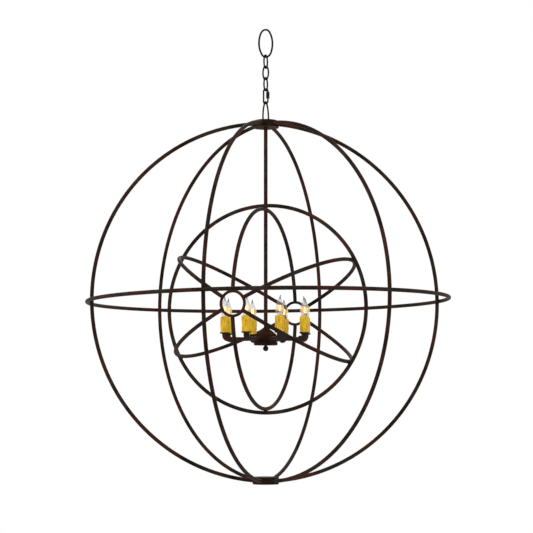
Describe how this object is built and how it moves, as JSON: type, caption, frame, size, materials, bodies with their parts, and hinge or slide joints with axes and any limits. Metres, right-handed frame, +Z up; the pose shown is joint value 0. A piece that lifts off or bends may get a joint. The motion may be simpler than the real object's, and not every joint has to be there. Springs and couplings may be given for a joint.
{
  "type": "orb chandelier",
  "caption": "Open round-bar orb chandelier with a smaller orb on its side inside, drip-candle lamps round a central hub, hung by a short chain.",
  "frame": {"origin": "the hanging point: the middle of the oval ring's top wire, at its underside, where a hook carries it", "axes": "+Z up along the rod, +X to the right in the plane of the inner orb's band, -Y to the front pole of the inner orb"},
  "size_m": [1.2188, 1.2187, 1.5354],
  "materials": {
    "frame_iron": "hand-rubbed dark bronze brown, satin, mottled",
    "band_iron": "hand-rubbed dark bronze brown, satin, mottled",
    "chain_iron": "dark bronze brown, satin",
    "candle_cover": "amber candle cover with wax-like drips, satin",
    "lamp_holder": "matt black moulded lamp holder",
    "plated_steel": "zinc plated",
    "bulb_glass": "clear glass",
    "bulb_base": "satin screw base"
  },
  "bodies": {
    "ring": {"oval_ring": "chain_iron"},
    "link_1": {"chain_link_1": "chain_iron"},
    "link_2": {"chain_link_2": "chain_iron"},
    "link_3": {"chain_link_3": "chain_iron"},
    "quick_link": {"quick_link": "chain_iron"},
    "sleeve_nut": {"quick_link_nut": "chain_iron"},
    "lamp_bulb_1": {"bulb_1": "bulb_glass", "bulb_cap_1": "bulb_base"},
    "lamp_bulb_2": {"bulb_2": "bulb_glass", "bulb_cap_2": "bulb_base"},
    "lamp_bulb_3": {"bulb_3": "bulb_glass", "bulb_cap_3": "bulb_base"},
    "lamp_bulb_4": {"bulb_4": "bulb_glass", "bulb_cap_4": "bulb_base"},
    "lamp_bulb_5": {"bulb_5": "bulb_glass", "bulb_cap_5": "bulb_base"},
    "lamp_bulb_6": {"bulb_6": "bulb_glass", "bulb_cap_6": "bulb_base"},
    "lamp_bulb_7": {"bulb_7": "bulb_glass", "bulb_cap_7": "bulb_base"},
    "lamp_bulb_8": {"bulb_8": "bulb_glass", "bulb_cap_8": "bulb_base"},
    "orb": {"arm_1": "frame_iron", "arm_2": "frame_iron", "arm_3": "frame_iron", "arm_4": "frame_iron", "arm_5": "frame_iron", "arm_6": "frame_iron", "arm_7": "frame_iron", "arm_8": "frame_iron", "arm_elbows": "frame_iron", "bottom_collar": "frame_iron", "candle_covers": "candle_cover", "down_rod": "frame_iron", "drip_dishes": "frame_iron", "equator_ring": "band_iron", "finial": "frame_iron", "hub_bail": "chain_iron", "hub_cone": "frame_iron", "hub_plate": "frame_iron", "inner_band": "band_iron", "inner_rib_bottom": "frame_iron", "inner_rib_side_1": "frame_iron", "inner_rib_side_2": "frame_iron", "inner_rib_side_3": "frame_iron", "inner_rib_side_4": "frame_iron", "inner_rib_top": "frame_iron", "lamp_holders": "lamp_holder", "lamp_hub": "frame_iron", "lamp_nipples": "plated_steel", "lock_nuts": "plated_steel", "outer_rib_1": "frame_iron", "outer_rib_2": "frame_iron", "outer_rib_3": "frame_iron", "outer_rib_4": "frame_iron", "outer_rib_5": "frame_iron", "outer_rib_6": "frame_iron", "pole_ring_front": "frame_iron", "pole_ring_rear": "frame_iron", "top_hub": "frame_iron"}
  },
  "joints": [
    {"name": "ring_to_link_1", "type": "hinge", "parent": "ring", "child": "link_1", "pos_m": [0, 0, -0.09082], "axis": [0.9703, -0.2419, 0], "range_deg": [-45, 45]},
    {"name": "link_1_to_link_2", "type": "hinge", "parent": "link_1", "child": "link_2", "pos_m": [0, 0, -0.1291], "axis": [0.2419, 0.9703, 0], "range_deg": [-45, 45]},
    {"name": "link_2_to_link_3", "type": "hinge", "parent": "link_2", "child": "link_3", "pos_m": [0, 0, -0.1678], "axis": [0, 0, 1], "range_deg": [-30, 30]},
    {"name": "link_3_to_quick_link", "type": "hinge", "parent": "link_3", "child": "quick_link", "pos_m": [0, 0, -0.2065], "axis": [0.2419, 0.9703, 0], "range_deg": [-45, 45]},
    {"name": "quick_link_to_orb", "type": "hinge", "parent": "quick_link", "child": "orb", "pos_m": [0, 0, -0.2509], "axis": [0.9703, -0.2419, 0], "range_deg": [-45, 45]},
    {"name": "sleeve_nut_travel", "type": "slide", "parent": "quick_link", "child": "sleeve_nut", "axis": [0, 0, -1], "range_m": [0, 0.0075]},
    {"name": "bulb_1_out", "type": "slide", "parent": "orb", "child": "lamp_bulb_1", "axis": [0, 0, 1], "range_m": [0, 0.021]},
    {"name": "bulb_2_out", "type": "slide", "parent": "orb", "child": "lamp_bulb_2", "axis": [0, 0, 1], "range_m": [0, 0.021]},
    {"name": "bulb_3_out", "type": "slide", "parent": "orb", "child": "lamp_bulb_3", "axis": [0, 0, 1], "range_m": [0, 0.021]},
    {"name": "bulb_4_out", "type": "slide", "parent": "orb", "child": "lamp_bulb_4", "axis": [0, 0, 1], "range_m": [0, 0.021]},
    {"name": "bulb_5_out", "type": "slide", "parent": "orb", "child": "lamp_bulb_5", "axis": [0, 0, 1], "range_m": [0, 0.021]},
    {"name": "bulb_6_out", "type": "slide", "parent": "orb", "child": "lamp_bulb_6", "axis": [0, 0, 1], "range_m": [0, 0.021]},
    {"name": "bulb_7_out", "type": "slide", "parent": "orb", "child": "lamp_bulb_7", "axis": [0, 0, 1], "range_m": [0, 0.021]},
    {"name": "bulb_8_out", "type": "slide", "parent": "orb", "child": "lamp_bulb_8", "axis": [0, 0, 1], "range_m": [0, 0.021]}
  ]
}
